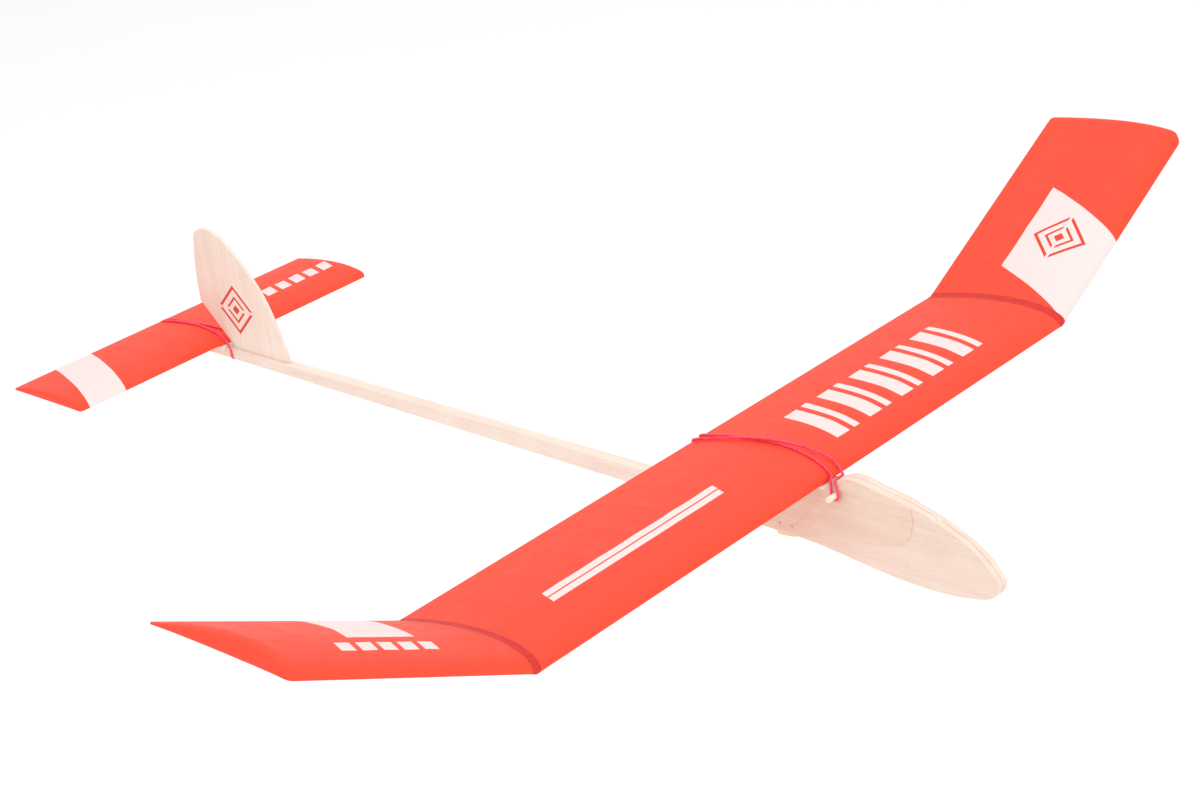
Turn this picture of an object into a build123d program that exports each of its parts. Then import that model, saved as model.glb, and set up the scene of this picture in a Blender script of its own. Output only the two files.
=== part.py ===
from build123d import *
import os
from dataclasses import dataclass
from math import exp, radians, sqrt, tan

# Film-covered free-flight glider, held together by rubber bands.
# +X is the glider's left wing, the nose points to -Y and +Z is up.
# Places are measured from the middle of the wing's leading edge. At the end every piece is moved so
# that the origin is under the middle of the whole glider, at the height of its lowest point.

# ---------------------------------------------------------------- driving dimensions, mm and degrees

# Wing
WING_CHORD = 103.4
CENTRE_SPAN = 500.0
TIP_SPAN = 173.7
DIHEDRAL = 26.6
WING_RISE = 10.9
RIB_PITCH = 31.25
END_RIB_INSET = 5.0
TIP_RIB_PITCH = 32.8
TIP_RIB_COUNT = 4
TIP_FIRST_RIB_X = 4.5
LAST_RIB_INSET = 7.5

# Tailplane
TAIL_CHORD = 78.4
TAIL_SPAN = 272.0
TAIL_RISE = 6.0
TAIL_Y = 546.0
TAIL_Z = -23.6
TAIL_RIB_PITCH = 25.4
TAIL_RIBS_EACH_SIDE = 4

# Both flying surfaces
EDGE_THICKNESS = 1.0
FILM = 0.25
RIB_THICKNESS = 1.5
TIP_ROUNDING = 6.0
TIP_TURN = 0.95
TIP_STAGES = (0.0, 0.4, 0.75, 1.0)
BACK_STRIP = 3.0
SPAR_FLOOR = 1.6
SHEETING = 1.0
FIT = 0.03

# Dihedral joints
BRACE_THICKNESS = 1.5
BRACE_LENGTH = 28.0
TAPE_WIDTH = 6.5
TAPE_THICKNESS = 0.2

# Pod, boom and fin
POD_HALF_THICKNESS = 4.0
DOUBLER_THICKNESS = 0.9
BALLAST_POCKET = ((-2.5, 2.5), (-99.0, -74.0), (-41.0, -21.0))
PLUG_PLACE = (-76.5, -12.5)
PLUG_RADIUS = 2.0
PLUG_LENGTH = 17.0
PLUG_PROUD = 0.6
HOOK_THICKNESS = 2.0
PIN_RADIUS = 0.6
PIN_PLACES = ((27.6, -35.4), (36.8, -35.4))
BOOM_FRONT_Y = 44.0
BOOM_END_Y = 616.0
BOOM_TOP_Z = -27.9
BOOM_FRONT_BOTTOM_Z = -41.2
BOOM_END_BOTTOM_Z = -34.5
PYLON_END_Y = 100.0
FIN_THICKNESS = 2.5
FIN_FRONT = (481.2, BOOM_TOP_Z)
FIN_HEEL = (539.5, BOOM_TOP_Z)
FIN_KNEE = (571.2, 4.2)
FIN_SHOULDER = (566.2, 52.0)

# Wing seat
SADDLE_WIDTH = 15.0
SADDLE_FRONT_Y = -1.2
SADDLE_TOP_Z = -0.95
SADDLE_THICKNESS = 2.0
DOWEL_RADIUS = 1.75
DOWEL_LENGTH = 28.0
FRONT_DOWEL = (-8.4, -5.0)
REAR_DOWEL = (94.0, -14.0)

# Tail seat
PLATFORM_WIDTH = 20.0
PLATFORM_TOP_Z = -24.45
PEG_RADIUS = 1.25
PEG_Y = 604.0
PEG_REACH = 6.0
PEG_DEPTH = 4.0

# Rubber bands
BAND_RADIUS = 0.8
BAND_CLEARANCE = 0.35
BAND_GAP = BAND_RADIUS + BAND_CLEARANCE
TAIL_BAND_Y = 541.6

# Further out than any piece reaches
FAR = 400.0

pieces = {}


# ---------------------------------------------------------------- helpers

def block(x, y, z):
    """A box from its (low, high) limits along each axis."""
    size = [high - low for low, high in (x, y, z)]
    middle = [(high + low) / 2 for low, high in (x, y, z)]
    return Pos(*middle) * Box(*size)


def cross_pin(place, radius, half_length):
    """A round pin across the glider at a (y, z) place."""
    return Pos(0, *place) * Rot(0, 90, 0) * Cylinder(radius, 2 * half_length)


def side_plate(outline, x_low, x_high):
    """A plate cut to a side-view outline."""
    return Pos(x_low, 0, 0) * extrude(Plane.YZ * make_face(outline), amount=x_high - x_low)


def both_sides(solid):
    return solid + mirror(solid, about=Plane.YZ)


def tube(points, radius=BAND_RADIUS, share=0.45):
    """A round strand along straight runs joined by tangent arcs."""
    bends = []
    for before, corner, after in zip(points, points[1:], points[2:]):
        arriving = Vector(*corner) - Vector(*before)
        leaving = Vector(*after) - Vector(*corner)
        half_turn = radians(arriving.get_angle(leaving)) / 2
        bends.append(share * min(arriving.length, leaving.length) / tan(half_turn))
    path = FilletPolyline(*points, radius=bends)
    return sweep(Plane(path @ 0, z_dir=path % 0) * Circle(radius), path=path)


# ---------------------------------------------------------------- flying surfaces

@dataclass
class Foil:
    """A flat-bottomed section with a round nose, and the strips that its frame is made of."""
    chord: float
    rise: float
    belly: float
    bluntness: float
    y: float
    z: float
    front_strip: float
    rear_strip: float
    spar: tuple
    corners: tuple
    tip_top: float
    tip_bottom: float

    def upper(self, along):
        share = min(max(along / self.chord, 0), 1)
        peak = (self.bluntness / (self.bluntness + 1)) ** self.bluntness / (self.bluntness + 1)
        arch = self.rise / peak * share ** self.bluntness * (1 - share)
        return arch + EDGE_THICKNESS / 2 * share

    def lower(self, along):
        share = min(max(along / self.chord, 0), 1)
        nose = 1 - exp(-share / 0.015)
        return -self.belly * nose * (1 - share) - EDGE_THICKNESS / 2 * share

    def curve(self, height, front, back, lift, steps=12):
        """Points of one surface, closer together near the nose."""
        stations = [front + (back - front) * (i / steps) ** 2 for i in range(steps + 1)]
        return [(self.y + s, self.z + height(s) + lift) for s in stations]

    def between(self, top, bottom):
        """The face between two curves that run from front to back."""
        outline = Spline(*top) + Spline(*bottom) + Line(top[-1], bottom[-1])
        if top[0] != bottom[0]:
            outline += Line(top[0], bottom[0])
        return Plane.YZ * make_face(outline)

    def section(self, inset=0.0, share=0.0):
        """The section, or the space inside the film when it is inset. share is how far the rounding of
        a tip has run: it lowers the top and lifts the underside, most where the section is deepest."""
        back = self.chord - BACK_STRIP if inset else self.chord
        fall = (1 - sqrt(1 - (TIP_TURN * share) ** 2)) / (1 - sqrt(1 - TIP_TURN ** 2))

        def top(along):
            return self.upper(along) * (1 - (1 - self.tip_top) * fall)

        def bottom(along):
            return self.lower(along) + self.upper(along) * self.tip_bottom * fall

        return self.between(self.curve(top, inset, back, -inset), self.curve(bottom, inset, back, inset))

    def top_layer(self, front, back, under, thickness):
        """A thin layer that follows the upper surface, its top face at the height under below it."""
        return self.between(
            self.curve(self.upper, front, back, -under),
            self.curve(self.upper, front, back, -under - thickness),
        )

    def zone(self, front, back, x_low=-FAR, x_high=FAR):
        """The space between two places along the chord."""
        return block((x_low, x_high), (self.y + front, self.y + back), (self.z - 30, self.z + 30))

    def spar_space(self, x_low=-FAR, x_high=FAR):
        """The spar's notch. It leaves a strip of each rib whole underneath."""
        front, back = self.spar
        return block((x_low, x_high), (self.y + front, self.y + back), (self.z + SPAR_FLOOR, self.z + 30))

    def run(self, x_low, x_high, inset=0.0):
        """A straight length of the section, or of the space inside the film."""
        return Pos(x_low, 0, 0) * extrude(self.section(inset), amount=x_high - x_low)

    def panel(self, x_low, end_x, inset=0.0):
        """A length of the section that ends in a tip, with the tip's edges and corners rounded."""
        start = end_x - TIP_ROUNDING
        sections = [Pos(start + (TIP_ROUNDING - inset) * share, 0, 0) * self.section(inset, share)
                    for share in TIP_STAGES]
        return (self.run(x_low, start, inset) + loft(sections)) & planform(self, end_x, inset)


def planform(foil, end_x, inset=0.0):
    """Everything inboard of the tip's plan outline."""
    side_x, front, back = end_x - inset, foil.y + inset, foil.y + foil.chord - inset
    face = make_face(Polyline((side_x, front), (side_x, back), (-FAR, back), (-FAR, front), close=True))
    for radius, side in zip(foil.corners, (0, -1)):
        corner = face.vertices().group_by(Axis.Y)[side].sort_by(Axis.X)[-1]
        face = fillet(corner, radius)
    return Pos(0, 0, foil.z - 40) * extrude(face, amount=80)


def ribs_at(foil, stations):
    """One rib at each station, notched for the front strip, the rear strip and the spar."""
    space = foil.zone(foil.front_strip, foil.chord - foil.rear_strip) - foil.spar_space()
    ribs = []
    for x in stations:
        ribs += (foil.run(x - RIB_THICKNESS / 2, x + RIB_THICKNESS / 2, FILM) & space).solids()
    return Part() + ribs


def sheeting(foil, pitch):
    """Thin sheet between the middle ribs, under the film and around the spar."""
    layer = foil.top_layer(foil.front_strip, foil.chord - foil.rear_strip, FILM + FIT, SHEETING)
    sheet = extrude(layer, amount=pitch - RIB_THICKNESS)
    return both_sides(Pos(RIB_THICKNESS / 2, 0, 0) * sheet - foil.spar_space())


def end_plate(foil, space, rib_x, end_x):
    """The block that fills the rounded tip, outside the last rib."""
    return space & foil.zone(-BACK_STRIP, foil.chord + BACK_STRIP, rib_x + RIB_THICKNESS / 2, end_x)


WING = Foil(chord=WING_CHORD, rise=WING_RISE, belly=0.8, bluntness=0.46, y=0.0, z=0.0,
            front_strip=8.0, rear_strip=12.0, spar=(30.2, 33.0), corners=(8.0, 3.0), tip_top=0.67,
            tip_bottom=0.22)
TAIL = Foil(chord=TAIL_CHORD, rise=TAIL_RISE, belly=0.55, bluntness=0.55, y=TAIL_Y, z=TAIL_Z,
            front_strip=6.0, rear_strip=10.0, spar=(23.0, 25.4), corners=(3.5, 1.5), tip_top=0.9,
            tip_bottom=0.06)

# ---------------------------------------------------------------- wing: centre panel

BREAK_X = CENTRE_SPAN / 2
mitre_normal = Vector(1, 0, 0).rotate(Axis.Y, -DIHEDRAL / 2)
mitre = Plane(origin=(BREAK_X, 0, 0), x_dir=(0, 1, 0), z_dir=mitre_normal)
outboard = mitre * Box(FAR, FAR, FAR, align=(Align.CENTER, Align.CENTER, Align.MIN))
tip_place = Pos(BREAK_X, 0, 0) * Rot(0, -DIHEDRAL, 0)

# The panels run this far past the break before they are mitred.
OVERRUN = 10.0
brace_front = WING.spar[1] + 0.1
brace_zone = (brace_front, brace_front + BRACE_THICKNESS)


def centre(solid):
    """Mitres a piece of the centre panel at both dihedral breaks."""
    return solid - outboard - mirror(outboard, about=Plane.YZ)


reach = BREAK_X + OVERRUN
centre_outer = WING.run(-reach, reach)
centre_inner = WING.run(-reach, reach, FILM)
pieces["wing_centre_covering"] = centre(centre_outer - centre_inner)
pieces["wing_centre_leading_edge"] = centre(centre_inner & WING.zone(0, WING.front_strip))
pieces["wing_centre_trailing_edge"] = centre(
    centre_inner & WING.zone(WING_CHORD - WING.rear_strip, WING_CHORD))
pieces["wing_centre_spar"] = centre(centre_inner & WING.spar_space())

half_count = int(BREAK_X / RIB_PITCH) - 1
stations = [i * RIB_PITCH for i in range(-half_count, half_count + 1)]
end_rib_x = BREAK_X - END_RIB_INSET
centre_brace_space = WING.zone(*brace_zone, BREAK_X - BRACE_LENGTH, reach)
centre_ribs = ribs_at(WING, [-end_rib_x] + stations + [end_rib_x])
pieces["wing_centre_ribs"] = centre_ribs - both_sides(centre_brace_space)

pieces["wing_centre_sheeting"] = sheeting(WING, RIB_PITCH)

# ---------------------------------------------------------------- wing: tip panels

LAST_RIB_X = TIP_SPAN - LAST_RIB_INSET
frame_end = LAST_RIB_X + RIB_THICKNESS / 2
tip_outer = WING.panel(-OVERRUN, TIP_SPAN)
tip_inner = WING.panel(-OVERRUN, TIP_SPAN, FILM)
tip_brace_space = WING.zone(*brace_zone, -OVERRUN, BRACE_LENGTH)

tip_stations = [TIP_RIB_PITCH * i for i in range(1, TIP_RIB_COUNT + 1)]
tip_ribs = ribs_at(WING, [TIP_FIRST_RIB_X] + tip_stations + [LAST_RIB_X]) & tip_inner
tip_rear = (WING_CHORD - WING.rear_strip, WING_CHORD)
tip_pieces = {
    "covering": tip_outer - tip_inner,
    "leading_edge": tip_inner & WING.zone(0, WING.front_strip, -OVERRUN, frame_end),
    "trailing_edge": tip_inner & WING.zone(*tip_rear, -OVERRUN, frame_end),
    "spar": tip_inner & WING.spar_space(-OVERRUN, frame_end),
    "ribs": tip_ribs - tip_brace_space,
    "end_plate": end_plate(WING, tip_inner, LAST_RIB_X, TIP_SPAN),
}
brace = (centre_inner & centre_brace_space) - outboard
brace += tip_place * (tip_inner & tip_brace_space) & outboard

tape_layer = WING.top_layer(0.3, WING_CHORD - 0.2, -TAPE_THICKNESS - FIT, TAPE_THICKNESS)
tape_reach = TAPE_WIDTH / 2 + 2
tape_inboard = Pos(BREAK_X - tape_reach, 0, 0) * extrude(tape_layer, amount=tape_reach + OVERRUN)
tape_outboard = Pos(-OVERRUN, 0, 0) * extrude(tape_layer, amount=OVERRUN + tape_reach)
tape = (tape_inboard - outboard) + (tip_place * tape_outboard & outboard)

for side, flip in (("left", False), ("right", True)):
    side_pieces = {f"{side}_tip_{name}": (tip_place * solid) & outboard for name, solid in tip_pieces.items()}
    side_pieces[f"{side}_dihedral_brace"] = brace
    side_pieces[f"{side}_joint_tape"] = tape
    for name, solid in side_pieces.items():
        pieces[name] = mirror(solid, about=Plane.YZ) if flip else solid

# ---------------------------------------------------------------- tailplane

TAIL_END_X = TAIL_SPAN / 2
TAIL_LAST_RIB_X = TAIL_END_X - LAST_RIB_INSET
tail_outer = both_sides(TAIL.panel(0, TAIL_END_X))
tail_inner = both_sides(TAIL.panel(0, TAIL_END_X, FILM))
tail_frame = TAIL_LAST_RIB_X + RIB_THICKNESS / 2
tail_rear = (TAIL_CHORD - TAIL.rear_strip, TAIL_CHORD)
tail_stations = [i * TAIL_RIB_PITCH for i in range(-TAIL_RIBS_EACH_SIDE, TAIL_RIBS_EACH_SIDE + 1)]
pieces["tail_covering"] = tail_outer - tail_inner
pieces["tail_leading_edge"] = tail_inner & TAIL.zone(0, TAIL.front_strip, -tail_frame, tail_frame)
pieces["tail_trailing_edge"] = tail_inner & TAIL.zone(*tail_rear, -tail_frame, tail_frame)
pieces["tail_spar"] = tail_inner & TAIL.spar_space(-tail_frame, tail_frame)
pieces["tail_ribs"] = ribs_at(TAIL, [-TAIL_LAST_RIB_X] + tail_stations + [TAIL_LAST_RIB_X]) & tail_inner
pieces["tail_end_plates"] = both_sides(end_plate(TAIL, tail_inner, TAIL_LAST_RIB_X, TAIL_END_X))
pieces["tail_centre_sheeting"] = sheeting(TAIL, TAIL_RIB_PITCH)

# ---------------------------------------------------------------- pod, doublers and boom

SEAT_Z = SADDLE_TOP_Z - SADDLE_THICKNESS
CHIN = (24.0, -42.1)
BROW = (SADDLE_FRONT_Y, -0.4)
pod_nose = Spline(
    BROW, (-8.0, 3.0), (-17.5, 6.5), (-34.0, 4.3), (-56.0, 0.2), (-78.0, -6.5), (-94.0, -13.7),
    (-105.5, -21.4), (-113.4, -29.6), (-116.9, -36.8), (-114.0, -43.0), (-104.0, -47.5), (-84.0, -50.5),
    (-62.0, -50.8), (-40.0, -49.3), (-17.0, -46.4), CHIN)
pod_back = Polyline(
    CHIN, (BOOM_FRONT_Y, BOOM_FRONT_BOTTOM_Z), (BOOM_FRONT_Y, BOOM_TOP_Z), (PYLON_END_Y - 6, BOOM_TOP_Z),
    (PYLON_END_Y, BOOM_TOP_Z + 8), (PYLON_END_Y, SEAT_Z), (SADDLE_FRONT_Y, SEAT_Z), BROW)
pod_outline = pod_nose + pod_back
boom_outline = Polyline(
    (BOOM_FRONT_Y, BOOM_TOP_Z), (BOOM_END_Y, BOOM_TOP_Z), (BOOM_END_Y, BOOM_END_BOTTOM_Z),
    (BOOM_FRONT_Y, BOOM_FRONT_BOTTOM_Z), close=True)
hook_outline = Polyline(
    (22.0, -31.0), (46.0, -31.0), (43.2, -42.0), (42.4, -46.6), (29.5, -45.4), (26.0, -42.2), close=True)

# The hook's tab lies between the two halves and stops at the boom.
hook = side_plate(hook_outline, -HOOK_THICKNESS / 2, HOOK_THICKNESS / 2)
hook &= block((-5, 5), (0, BOOM_FRONT_Y - 0.05), (-60, 0))
pin_half_length = POD_HALF_THICKNESS + DOUBLER_THICKNESS - 0.3
pins = Part() + [cross_pin(place, PIN_RADIUS, pin_half_length) for place in PIN_PLACES]
cross_holes = Part() + [cross_pin(place, PIN_RADIUS, FAR) for place in PIN_PLACES]
cross_holes += [cross_pin(place, DOWEL_RADIUS, FAR) for place in (FRONT_DOWEL, REAR_DOWEL)]

ballast_space = block(*BALLAST_POCKET)
pod_profile = side_plate(pod_outline, -POD_HALF_THICKNESS, POD_HALF_THICKNESS)
plug_place = Pos(0, *PLUG_PLACE)
plug = plug_place * Cylinder(PLUG_RADIUS, PLUG_LENGTH) & Pos(0, 0, PLUG_PROUD) * pod_profile
plug_hole = plug_place * Cylinder(PLUG_RADIUS + FIT, PLUG_LENGTH)

pod_body = pod_profile - hook - cross_holes - ballast_space - plug_hole
left_space = block((0, FAR), (-FAR, FAR), (-FAR, FAR))
pieces["pod_half_left"] = pod_body & left_space
pieces["pod_half_right"] = pod_body - left_space
pieces["ballast_weight"] = ballast_space
pieces["ballast_plug"] = plug
pieces["tow_hook"] = hook - cross_holes
pieces["tow_hook_pins"] = pins

# Each doubler covers the side from under the wing to a curve ahead of it, and laps over the boom's root.
doubler_front = Spline(
    (-57.0, 3.5), (-60.3, -11.0), (-56.0, -22.5), (-42.0, -28.8), (-12.6, -35.0), (27.0, -42.5))
doubler_back = Polyline((27.0, -42.5), (78.0, -41.5))
doubler_tail = Spline((78.0, -41.5), (93.0, -35.5), (PYLON_END_Y, -22.0), tangents=((1, 0), (0, 1)))
doubler_top = Polyline((PYLON_END_Y, -22.0), (PYLON_END_Y, 20.0), (-57.0, 20.0), (-57.0, 3.5))
doubler_outline = doubler_front + doubler_back + doubler_tail + doubler_top
doubler_sides = (POD_HALF_THICKNESS, POD_HALF_THICKNESS + DOUBLER_THICKNESS)
doubler = side_plate(pod_outline, *doubler_sides) + side_plate(boom_outline, *doubler_sides)
doubler = (doubler & side_plate(doubler_outline, *doubler_sides)) - cross_holes
pieces["pod_doubler_left"] = doubler
pieces["pod_doubler_right"] = mirror(doubler, about=Plane.YZ)

peg_top = Pos(0, PEG_Y, BOOM_END_BOTTOM_Z - 0.1 + PEG_DEPTH)
hanging = (Align.CENTER, Align.CENTER, Align.MAX)
boom = side_plate(boom_outline, -POD_HALF_THICKNESS, POD_HALF_THICKNESS)
pieces["tail_boom"] = boom - peg_top * Cylinder(PEG_RADIUS, FAR, align=hanging)
pieces["tail_band_peg"] = peg_top * Cylinder(PEG_RADIUS, PEG_REACH + PEG_DEPTH, align=hanging)

# ---------------------------------------------------------------- wing seat

saddle = block((-SADDLE_WIDTH / 2, SADDLE_WIDTH / 2), (SADDLE_FRONT_Y, PYLON_END_Y), (SEAT_Z, SADDLE_TOP_Z))
pieces["wing_saddle"] = saddle
pieces["front_wing_dowel"] = cross_pin(FRONT_DOWEL, DOWEL_RADIUS, DOWEL_LENGTH / 2)
pieces["rear_wing_dowel"] = cross_pin(REAR_DOWEL, DOWEL_RADIUS, DOWEL_LENGTH / 2)

# ---------------------------------------------------------------- fin and tail seat

fin_front = Spline(
    FIN_FRONT, (486.4, -8.6), (498.6, 20.0), (518.5, 44.0), (539.0, 59.4), (555.0, 62.4), FIN_SHOULDER,
    tangents=((0.12, 1), (0.16, -1)))
fin_rear = Spline(FIN_SHOULDER, (570.6, 26.0), FIN_KNEE)
fin_outline = fin_front + fin_rear + Polyline(FIN_KNEE, FIN_HEEL, FIN_FRONT)
pieces["fin"] = side_plate(fin_outline, -FIN_THICKNESS / 2, FIN_THICKNESS / 2)
pieces["tail_platform"] = block((-PLATFORM_WIDTH / 2, PLATFORM_WIDTH / 2), (TAIL_Y - 1, BOOM_END_Y),
                                (BOOM_TOP_Z, PLATFORM_TOP_Z))

# ---------------------------------------------------------------- rubber bands

def across_at(share, stops):
    """The x of a strand at a share of the chord, between (share, x) stops."""
    for (first, x_first), (second, x_second) in zip(stops, stops[1:]):
        if share <= second:
            return x_first + (x_second - x_first) * (share - first) / (second - first)
    return stops[-1][1]


def over(foil, stops, lifts=None):
    """A strand's points over a surface, from the nose to just ahead of the rear edge."""
    shares = (0.014, 0.045, 0.10, 0.19, 0.30, 0.42, 0.55, 0.68, 0.81, 0.94)
    route = []
    for i, share in enumerate(shares):
        along = share * foil.chord
        slope = (foil.upper(along + 0.2) - foil.upper(along - 0.2)) / 0.4
        normal = Vector(0, -slope, 1).normalized() * BAND_GAP
        lift = (lifts or {}).get(i, 0)
        height = foil.z + foil.upper(along) + normal.Z + lift
        route.append((across_at(share, stops), foil.y + along + normal.Y, height))
    return route


def around(place, points):
    """Route points given as x and (y, z) offsets from a pin's axis."""
    return [(x, place[0] + y, place[1] + z) for x, y, z in points]


# One loop: from under the front dowel's right end, diagonally over the wing to the rear dowel's left end.
rising_behind = around(FRONT_DOWEL, [(-8.6, 2.8, -1.2), (-8.5, 2.8, 1.2)]) + [
    (-7.4, -5.2, 0.4), (-5.4, -4.6, 3.0), (0.3, -1.4, 2.1)]
strand_behind = over(WING, [(0, 0.5), (1, 7.4)])
left_descent = [(7.5, 104.8, 1.1), (7.7, 104.8, -0.9)]
left_turn = around(REAR_DOWEL, [(9.6, -3.1, 0.9), (9.4, -2.6, -1.7), (8.4, -0.4, -3.1), (7.4, 1.9, -2.3)])
right_ascent = [(6.2, 101.4, -8.5), (0.7, 104.8, -0.9), (0.5, 104.8, 1.1)]
crossing_lifts = {3: 0.5, 4: 1.3, 5: 1.8, 6: 1.9, 7: 1.0, 8: 0.4}
strand_ahead = over(WING, [(0, 7.9), (1, 0.6)], crossing_lifts)
falling_ahead = [
    (7.8, -1.5, 1.5), (6.8, -4.6, 3.0), (5.0, -5.3, 4.0), (-5.2, -7.2, 4.4), (-6.2, -8.2, 2.8)]
right_turn = around(FRONT_DOWEL, [
    (-7.2, -2.8, 1.0), (-7.4, -2.8, -1.2), (-7.7, -1.2, -2.8), (-8.2, 0.6, -2.8)])
pieces["wing_rubber_band"] = tube(
    rising_behind + strand_behind + left_descent + left_turn + right_ascent + strand_ahead[::-1]
    + falling_ahead + right_turn)

# The tail band passes under the boom, over the tailplane in two strands, and around a peg under the boom.
beside = POD_HALF_THICKNESS + BAND_RADIUS + 0.1
under = BOOM_END_BOTTOM_Z - 1.0 - BAND_RADIUS
loop_top = TAIL_Z - 2.8
front_loop = FilletPolyline(
    (-beside, TAIL_BAND_Y + 0.6, loop_top), (-beside, TAIL_BAND_Y, under), (beside, TAIL_BAND_Y, under),
    (beside, TAIL_BAND_Y + 0.6, loop_top), radius=1.3)
pieces["tail_band_front_loop"] = sweep(
    Plane(front_loop @ 0, z_dir=front_loop % 0) * Circle(BAND_RADIUS), path=front_loop)

strands = []
for front_x, middle_x, rear_x in ((-beside, -2.6, -3.4), (beside, -0.8, 0.0)):
    lead_in = [(front_x, TAIL_Y - 2.2, TAIL_Z - 0.9), (front_x * 0.98, TAIL_Y - 1.3, TAIL_Z + 1.2)]
    strands.append(tube(lead_in + over(TAIL, [(0, front_x), (0.42, middle_x), (1, rear_x)])))
pieces["tail_band_strands"] = Part() + strands

turn_y = TAIL_Y + TAIL_CHORD + 1.3
drop_y = BOOM_END_Y + BAND_RADIUS + 1.0
low_z = BOOM_END_BOTTOM_Z - BAND_RADIUS - 1.3
peg_turn = [(-2.4, 1.0), (-2.4, -1.5), (-1.3, -2.8), (1.3, -2.8), (2.4, -1.5), (2.4, 1.0)]
pieces["tail_band_rear_loop"] = tube(
    [(-3.4, turn_y, TAIL_Z - 1.6), (-3.2, drop_y + 1.4, TAIL_Z - 8), (-2.8, drop_y, low_z)]
    + [(x, PEG_Y + y, low_z - 0.7) for x, y in peg_turn]
    + [(1.4, drop_y, low_z), (0.4, drop_y + 1.4, TAIL_Z - 8), (0.0, turn_y, TAIL_Z - 1.6)])

# ---------------------------------------------------------------- files

whole = Compound(children=[Part() + piece for piece in pieces.values()]).bounding_box()
origin = Pos(-(whole.min.X + whole.max.X) / 2, -(whole.min.Y + whole.max.Y) / 2, -whole.min.Z)
os.makedirs("parts", exist_ok=True)
for name, piece in pieces.items():
    export_step(origin * Compound((Part() + piece).solids()), f"parts/{name}.step")
print("origin moved by", origin.position)
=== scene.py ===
import math

import bmesh
import bpy
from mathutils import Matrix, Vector, noise


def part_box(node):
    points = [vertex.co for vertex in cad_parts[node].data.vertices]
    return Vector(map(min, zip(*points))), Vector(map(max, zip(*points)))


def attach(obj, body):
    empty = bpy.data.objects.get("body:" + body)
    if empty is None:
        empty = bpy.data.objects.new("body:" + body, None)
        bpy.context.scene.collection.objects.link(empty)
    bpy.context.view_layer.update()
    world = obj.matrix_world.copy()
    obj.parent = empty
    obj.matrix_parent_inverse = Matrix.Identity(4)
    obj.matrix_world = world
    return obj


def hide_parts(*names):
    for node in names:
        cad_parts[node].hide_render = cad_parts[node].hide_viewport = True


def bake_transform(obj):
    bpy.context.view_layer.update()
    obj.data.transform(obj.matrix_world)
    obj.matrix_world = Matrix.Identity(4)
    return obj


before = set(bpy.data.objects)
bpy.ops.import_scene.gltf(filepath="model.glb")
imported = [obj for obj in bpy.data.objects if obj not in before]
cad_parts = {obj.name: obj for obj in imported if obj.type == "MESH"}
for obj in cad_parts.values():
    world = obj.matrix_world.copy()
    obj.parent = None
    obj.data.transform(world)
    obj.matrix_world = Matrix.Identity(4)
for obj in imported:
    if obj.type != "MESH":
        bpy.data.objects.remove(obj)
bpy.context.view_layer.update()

# Film-covered free-flight glider, held together by rubber bands.
# The helpers take millimetres, measured as in the CAD: from the middle of the wing's leading edge, on the
# plane of its chord, with +X to the left wing tip, the nose towards -Y and +Z up.

# ---------------------------------------------------------------- sizes, in mm and degrees

MM = 0.001
SADDLE_DROP = 0.95          # the wing's flat underside rests this far below its chord plane
wing_low, wing_high = [Vector(corner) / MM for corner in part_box("wing_centre_covering")]
tail_low, tail_high = [Vector(corner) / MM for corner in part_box("tail_covering")]
saddle_high = Vector(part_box("wing_saddle")[1]) / MM
ORIGIN = Vector((0, wing_low.y, saddle_high.z + SADDLE_DROP))

BREAK_X = 250.0             # where the tip panels start
DIHEDRAL = 26.6
TIP_SPAN = 173.7
RIB_PITCH = 31.25
TIP_RIB_PITCH = 32.8
TIP_FIRST_RIB = 4.5
TIP_RIB_COUNT = 4
END_RIB = BREAK_X - 5.0
LAST_RIB_INSET = 7.5
LAST_RIB = TIP_SPAN - LAST_RIB_INSET
TAIL_RIB_PITCH = 25.4
TAIL_RIBS_EACH_SIDE = 4
TAIL_END = tail_high.x
TAIL_LAST_RIB = TAIL_END - LAST_RIB_INSET
TAIL_Z = -23.6
MITRE = math.tan(math.radians(DIHEDRAL / 2))
EDGE_THICKNESS = 1.0
TIP_ROUNDING = 6.0          # the length over which a tip's edges are rounded
TIP_TURN = 0.95
FILM_THICKNESS = 0.12
REAR_SAG = 0.55
FRONT_SAG = 0.28
UNDER_SAG = 0.25
TAPE_WIDTH = 6.5
TAPE_THICKNESS = 0.1
TAPE_LIFT = 0.03
BAND_RADIUS = 0.8
BAND_GAP = BAND_RADIUS + 0.35   # from a strand's middle to the surface that it lies on
FRONT_DOWEL = (-8.4, -5.0)
REAR_DOWEL = (94.0, -14.0)
TAIL_BAND_Y = 541.6
PEG_Y = 604.0
BOOM_END_Y = 616.0
BOOM_END_BOTTOM_Z = -34.5


def at(x, y, z):
    """A place in the row frame, in metres, from millimetres in the CAD's own frame."""
    return (Vector((x, y, z)) + ORIGIN) * MM


# ---------------------------------------------------------------- materials

def rgb(red, green, blue):
    """Linear colour from display values of 0 to 255."""
    shares = [value / 255 for value in (red, green, blue)]
    return [s / 12.92 if s <= 0.04045 else ((s + 0.055) / 1.055) ** 2.4 for s in shares] + [1.0]


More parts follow.
